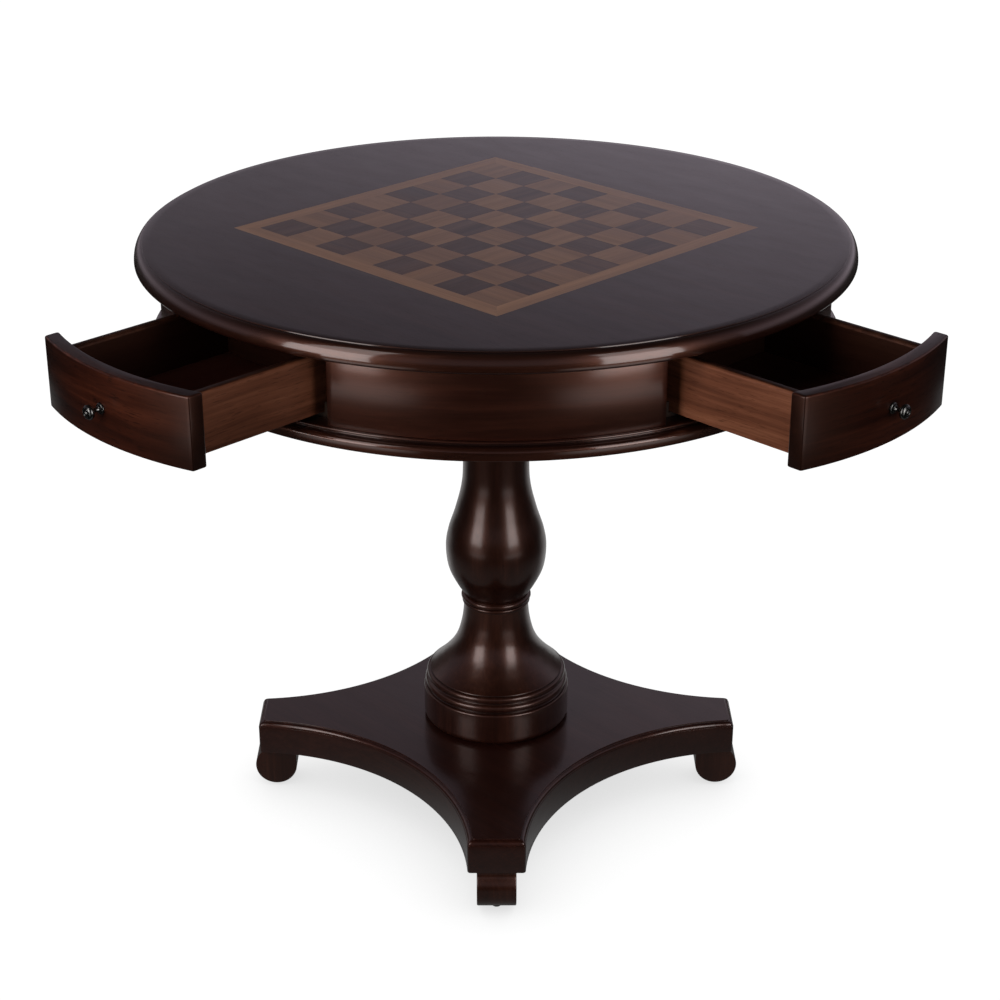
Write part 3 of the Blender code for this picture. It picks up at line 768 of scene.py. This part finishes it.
# ---------------------------------------------------------------- base
def platform():
    """Four arms between concave sides, with a moulded upper edge."""
    low, high, _ = spread("base_platform")
    centre, radius, reach = 0.3300, 0.2955, 0.3125

    def outline(inset):
        curve, end = radius + inset, reach - inset
        half = centre - sqrt(curve ** 2 - (centre - end) ** 2)
        start = atan2(half - centre, end - centre)
        points, corners = [], set()
        for k in range(4):
            side = arc((centre, centre), curve, start, -pi / 2 - (start + pi), 40)
            turn = pi / 4 + k * pi / 2
            corners |= {len(points), len(points) + 40}
            points += [(x * cos(turn) - y * sin(turn), x * sin(turn) + y * cos(turn))
                       for x, y in side]
        return fillet(points, corners, 0.0036, 5)

    levels = [(0.0010, low.z), (0.0003, low.z + 0.0004), (0, low.z + 0.0012)]
    levels += [(0, high.z - 0.0072), (0.0002, high.z - 0.0067), (0.0007, high.z - 0.0065)]
    levels += [(0.0007 + 0.0052 * (1 - cos(a)), high.z - 0.0065 + 0.0052 * sin(a))
               for a in (pi / 2 * k / 7 for k in range(8))]
    levels += [(0.0064, high.z - 0.0013), (0.0065, high.z - 0.0003), (0.0068, high.z)]
    base = stack("arm_platform", outline, levels, BASE, along(0))
    put(base, "table", "stained_hardwood", "base_platform")


def foot(number, angle):
    """A scroll foot and the glide under it."""
    low, high, _ = spread(f"scroll_foot_{number}")
    disc, centre, width = 0.0272, 0.2929, 0.0480
    middle, hollow = low.z + disc, 0.0130
    lift = high.z - middle
    place = AXIS @ Matrix.Rotation(radians(angle), 4, "Z") @ Matrix.Rotation(pi / 2, 4, "X")

    def outline(inset):
        r, h = disc - inset, hollow + inset
        offset = sqrt((disc + hollow) ** 2 - lift ** 2)
        meet = atan2(lift, offset)
        inner = centre - r
        points = [(inner, high.z), (inner, middle)]
        points += arc((centre, middle), r, pi, 2 * pi + meet, 56)[1:]
        points += arc((centre + offset, high.z), h, pi + meet, pi, 10)[1:]
        return points

    block = stack(f"foot_{number}", outline, eased(-width / 2, width / 2, 0.0016, 3), TURNED,
                  along(1), place)
    put(block, "table", "stained_hardwood", f"scroll_foot_{number}")
    _, glide_high, mid = spread(f"floor_glide_{number}")
    profile = [(0, glide_high.z), (0.0060, glide_high.z), (0.0060, 0.0016)]
    profile += arc((0.0046, 0.0014), (0.0014, 0.0014), 0, -pi / 2, 5)[1:]
    profile += [(0, 0)]
    under_foot = Matrix.Translation((mid.x, mid.y, 0))
    glide = lathe(f"glide_{number}", profile, 40, PLASTIC, place=under_foot)
    put(glide, "table", "glide_plastic", f"floor_glide_{number}")


# ---------------------------------------------------------------- hidden pieces that stay CAD
def dress_hidden():
    """The CAD's own inner pieces keep their meshes and take worked materials."""
    def solid_grain(base):
        """A copy of a wood whose grain reads the object's own coordinates."""
        material = base.copy()
        material.name = base.name + "_solid"
        tree = material.node_tree
        for node in list(tree.nodes):
            if node.bl_idname == "ShaderNodeAttribute" and node.attribute_name == "grain":
                place = tree.nodes.new("ShaderNodeTexCoord")
                for link in list(node.outputs["Vector"].links):
                    tree.links.new(place.outputs["Object"], link.to_socket)
        return material

    hidden_wood = solid_grain(CARCASS)
    for name, node in frame["nodes"].items():
        if "guide" in name or name in ("case_floor_board", "centre_block", "column_mounting_plate"):
            material = hidden_wood
        elif name.startswith("tie_rod"):
            material = ZINC
        else:
            continue
        node.data.materials.clear()
        node.data.materials.append(material)


top_panel()
chessboard()
apron()
ring_moulding()
for place, angle in PLACES.items():
    drawer(place, angle)
column()
platform()
for number, angle in enumerate((-45, 45, 135, 225), 1):
    foot(number, angle)
dress_hidden()


# ---------------------------------------------------------------- studio
FACING = -45.0                                 # azimuth of the camera's side of the table


def toward(azimuth):
    """Unit vector at an azimuth measured from the camera's side, positive to its right."""
    a = radians(FACING + azimuth)
    return Vector((cos(a), sin(a), 0))


def sweep():
    """White floor with a painted contact shadow for the camera; in reflections it is dim but for patches
    before the boxes and behind the table.
    """
    bpy.ops.mesh.primitive_plane_add(size=40.0, location=(0, 0, -0.0002))
    floor = bpy.context.object
    floor.name = "studio_floor"
    n = Nodes("white_sweep")
    path = n.add("LightPath").outputs
    place = n.add("NewGeometry").outputs["Position"]
    flat = n.add("VectorMath", {0: place, 1: (-AX, -AY, 0)}, operation="ADD").outputs[0]
    reach = n.add("VectorMath", {0: flat}, operation="LENGTH").outputs["Value"]
    unit = n.add("VectorMath", {0: flat}, operation="NORMALIZE").outputs[0]
    glow = n.range(reach, 0.5, 0.9, 0.13, 0.02)
    far = n.range(reach, 1.75, 2.05)
    behind = n.range(reach, 0.35, 0.60)
    for azimuth, half, soft, level, where in ((-41, 6, 14, 1.2, far), (38, 8, 14, 1.2, far),
                                              (180, 42, 26, 0.42, behind)):
        aim = n.add("VectorMath", {0: unit, 1: toward(azimuth)}, operation="DOT_PRODUCT")
        bump = n.range(aim.outputs["Value"], cos(radians(half + soft)), cos(radians(half)))
        glow = n.math("ADD", glow, n.math("MULTIPLY", n.math("MULTIPLY", bump, where), level))
    # painted contact shadow: the floor's emission for the camera falls with ambient occlusion
    shade = n.add("AmbientOcclusion", {"Distance": 0.26}, samples=12).outputs["AO"]
    seen = n.math("MULTIPLY", path["Is Camera Ray"], n.range(shade, 0.0, 1.0, 0.66, 1.06))
    mirrored = n.math("MULTIPLY", path["Is Glossy Ray"], glow)
    n.feed(n.shader.inputs["Emission Strength"], n.math("ADD", seen, mirrored))
    n.shader.inputs["Emission Color"].default_value = (1, 1, 1, 1)
    bounce = n.math("MULTIPLY", path["Is Diffuse Ray"], 0.22)
    grey = n.add("CombineXYZ", {0: bounce, 1: bounce, 2: bounce}).outputs[0]
    n.feed(n.shader.inputs["Base Color"], grey)
    n.shader.inputs["Roughness"].default_value = 1.0
    n.shader.inputs["Specular IOR Level"].default_value = 0.0
    floor.data.materials.append(n.material)


def wall(name, start, span, reach, top, stops, left, right):
    """A curved wall seen only in reflections: its light by height, and its strength side to side."""
    bm = bmesh.new()
    columns = 48
    rows = []
    for z in (0.0, top):
        spread_of = (toward(start + span * k / columns) * reach for k in range(columns + 1))
        rows.append([bm.verts.new((AX + p.x, AY + p.y, z)) for p in spread_of])
    for k in range(columns):
        bm.faces.new((rows[0][k], rows[0][k + 1], rows[1][k + 1], rows[1][k]))
    n = Nodes(name)
    place = n.add("NewGeometry").outputs["Position"]
    height = n.add("SeparateXYZ", {0: place}).outputs[2]
    n.feed(n.shader.inputs["Emission Color"], n.ramp(n.math("DIVIDE", height, top), stops))
    flat = n.add("VectorMath", {0: place, 1: (-AX, -AY, 0)}, operation="ADD").outputs[0]
    across = n.add("VectorMath", {0: flat, 1: toward(90) / reach}, operation="DOT_PRODUCT")
    side = across.outputs["Value"]
    n.feed(n.shader.inputs["Emission Strength"], n.range(side, -0.25, 0.25, left, right))
    n.shader.inputs["Base Color"].default_value = (0, 0, 0, 1)
    n.shader.inputs["Specular IOR Level"].default_value = 0.0
    screen = make_object(name, bm, n.material)
    screen.visible_camera = False
    screen.visible_diffuse = False
    screen.visible_shadow = False


def sky():
    """White behind the table for the camera, a dim room for everything else."""
    world = bpy.data.worlds.new("studio_world")
    bpy.context.scene.world = world
    world.use_nodes = True
    tree = world.node_tree
    tree.nodes.clear()
    out = tree.nodes.new("ShaderNodeOutputWorld")
    mix = tree.nodes.new("ShaderNodeMixShader")
    path = tree.nodes.new("ShaderNodeLightPath")
    room, white = tree.nodes.new("ShaderNodeBackground"), tree.nodes.new("ShaderNodeBackground")
    strength = tree.nodes.new("ShaderNodeMapRange")
    strength.inputs["To Min"].default_value = 0.04
    strength.inputs["To Max"].default_value = 0.03
    tree.links.new(path.outputs["Is Glossy Ray"], strength.inputs["Value"])
    tree.links.new(strength.outputs[0], room.inputs["Strength"])
    room.inputs["Color"].default_value = (0.96, 0.97, 1.0, 1)
    white.inputs["Color"].default_value = (1, 1, 1, 1)
    white.inputs["Strength"].default_value = 1.0
    tree.links.new(path.outputs["Is Camera Ray"], mix.inputs[0])
    tree.links.new(room.outputs[0], mix.inputs[1])
    tree.links.new(white.outputs[0], mix.inputs[2])
    tree.links.new(mix.outputs[0], out.inputs[0])


def soft_box(name, azimuth, distance, low, high, width, radiance, matt=True, gloss=True):
    """An upright light panel aimed at the column; it lights matt surfaces, reflections or both."""
    light = bpy.data.lights.new(name, "AREA")
    light.shape = "RECTANGLE"
    light.size, light.size_y = width, high - low
    light.energy = radiance * pi * width * (high - low)
    lamp = bpy.data.objects.new(name, light)
    lamp.location = Vector((AX, AY, (low + high) / 2)) + toward(azimuth) * distance
    lamp.rotation_euler = toward(azimuth).to_track_quat("Z", "Y").to_euler()
    lamp.visible_camera = False
    lamp.visible_diffuse = matt
    lamp.visible_glossy = gloss
    bpy.context.scene.collection.objects.link(lamp)


def studio():
    """Matt fills and mirrored strips flank the camera, weaker boxes and dim walls do the rest."""
    sweep()
    wall("studio_wall", 70, 220, 1.9, 2.6,
         [(0.0, (0.0, 0.0, 0.0)), (0.22, (0.02, 0.02, 0.02)), (0.36, (0.44, 0.385, 0.44)),
          (0.45, (0.40, 0.355, 0.41)), (0.52, (0.27, 0.24, 0.28)), (0.62, (0.16, 0.142, 0.17)),
          (0.85, (0.08, 0.073, 0.085))], 0.62, 1.0)
    wall("studio_front_wall", -75, 150, 3.4, 3.6,
         [(0.0, (0.0, 0.0, 0.0)), (0.22, (0.02, 0.02, 0.02)), (0.34, (0.20, 0.18, 0.20)),
          (0.60, (0.16, 0.142, 0.16)), (0.90, (0.04, 0.036, 0.042))], 1.0, 1.0)
    sky()
    soft_box("left_fill", -43, 2.3, 0.45, 3.20, 0.90, 4.2, gloss=False)
    soft_box("left_strip", -47, 2.3, 0.45, 1.55, 1.05, 4.4, matt=False)
    soft_box("left_upper_strip", -45, 2.3, 1.55, 3.60, 0.90, 2.2, matt=False)
    soft_box("right_fill", 38, 2.3, 0.45, 1.70, 0.90, 2.4, gloss=False)
    soft_box("right_strip", 40, 2.3, 0.45, 1.55, 0.95, 4.4, matt=False)
    soft_box("right_upper_strip", 40, 2.3, 1.55, 2.60, 0.85, 2.2, matt=False)
    soft_box("rear_left_box", -138, 2.6, 0.30, 2.00, 0.80, 1.2)
    soft_box("rear_right_box", 138, 2.6, 0.30, 2.00, 0.80, 1.2)


def camera():
    """Three-quarter view from above, between the two open drawers."""
    data = bpy.data.cameras.new("camera")
    data.sensor_width = 36.0
    data.lens = 75.8
    data.shift_x = 0.0039
    data.clip_start, data.clip_end = 0.05, 60
    cam = bpy.data.objects.new("camera", data)
    bpy.context.scene.collection.objects.link(cam)
    distance, height, pitch, turn = 2.4272, 1.5251, 24.68, -0.12
    a = radians(FACING + turn)
    cam.location = (AX + distance * cos(a), AY + distance * sin(a), height)
    cam.rotation_euler = (radians(90 - pitch), 0, a + pi / 2)
    bpy.context.scene.camera = cam


studio()
camera()
bpy.context.scene.view_settings.view_transform = "Standard"
